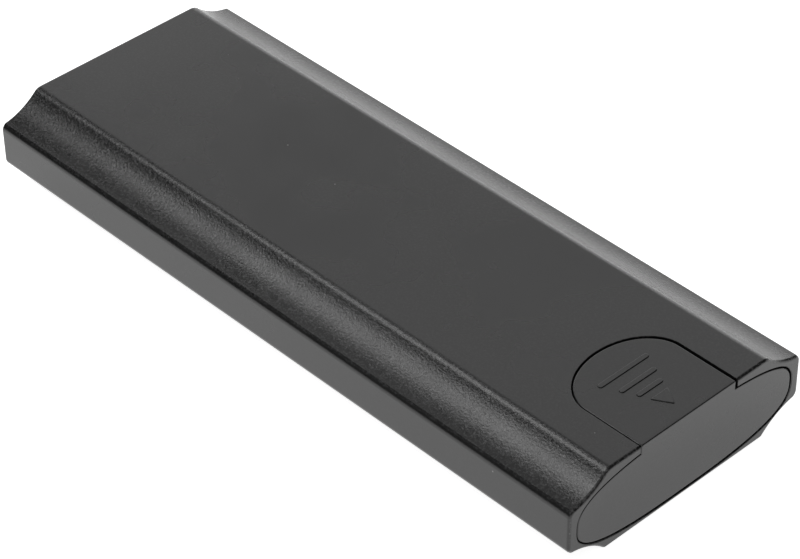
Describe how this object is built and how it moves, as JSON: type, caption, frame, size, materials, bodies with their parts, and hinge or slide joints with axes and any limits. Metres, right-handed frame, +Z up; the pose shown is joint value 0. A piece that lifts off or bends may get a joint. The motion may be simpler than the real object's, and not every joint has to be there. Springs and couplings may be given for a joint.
{
  "type": "battery pack",
  "caption": "Slim black battery pack: coved one-piece sleeve with a pull-off end door, round cells inside and an output socket at the rear.",
  "frame": {"origin": "middle of the flat underside", "axes": "+X along the pack towards the door, +Y across it, +Z up through the top face that carries the thumb tongue"},
  "size_m": [0.1564, 0.06, 0.019],
  "materials": {
    "black_case": "fine textured black moulding",
    "dark_moulding": "dark moulding",
    "natural_moulding": "light grey moulding",
    "nickel_contact": "nickel-plated strip",
    "spring_steel": "bright spring wire",
    "cell_wrap": "plain printed cell wrap",
    "board_green": "green solder mask",
    "tinned_steel": "tinned sheet steel",
    "switch_black": "black moulding",
    "green_lens": "clear green lens",
    "ferrite_grey": "ferrite",
    "capacitor_can": "bright can",
    "chip_black": "moulded epoxy",
    "fuse_yellow": "yellow coating",
    "black_lead": "insulated lead",
    "black_screw": "black oxide steel"
  },
  "bodies": {
    "housing": {"housing_sleeve": "black_case", "rear_cover": "black_case", "cover_screw_left": "black_screw", "cover_screw_right": "black_screw", "contact_bulkhead": "natural_moulding", "side_guide_left": "natural_moulding", "side_guide_right": "natural_moulding", "output_jack": "dark_moulding", "rear_single_contact": "nickel_contact", "rear_bridge_contact": "nickel_contact", "return_strip": "nickel_contact", "output_jack_pin": "nickel_contact", "rear_spring_left": "spring_steel", "rear_spring_right": "spring_steel", "circuit_board": "board_green", "switch_body": "tinned_steel", "indicator_lamp": "green_lens", "power_inductor": "ferrite_grey", "filter_capacitor_1": "capacitor_can", "filter_capacitor_2": "capacitor_can", "controller_chip": "chip_black", "rectifier_diode": "chip_black", "resettable_fuse": "fuse_yellow", "negative_lead": "black_lead"},
    "door": {"door_cover": "black_case", "door_bridge_contact": "nickel_contact", "door_single_contact": "nickel_contact", "door_spring": "spring_steel", "contact_retainer": "dark_moulding", "latch_spring_left": "spring_steel", "latch_spring_right": "spring_steel"},
    "cells": {"cell_1": "cell_wrap", "cell_2": "cell_wrap", "cell_3": "cell_wrap", "cell_4": "cell_wrap", "cell_5": "cell_wrap", "cell_6": "cell_wrap"},
    "switch": {"switch_knob": "switch_black"}
  },
  "joints": [
    {"name": "door_slide", "type": "slide", "parent": "housing", "child": "door", "axis": [1, 0, 0], "range_m": [0, 0.16], "deforming": ["latch_spring_left", "latch_spring_right"]},
    {"name": "cells_slide", "type": "slide", "parent": "housing", "child": "cells", "axis": [1, 0, 0], "range_m": [0, 0.112]},
    {"name": "switch_slide", "type": "slide", "parent": "housing", "child": "switch", "axis": [0, 1, 0], "range_m": [0, 0.0025]}
  ],
  "couplings": [
    {"joint": "cells_slide", "follows": "door_slide", "ratio": 0.7}
  ]
}
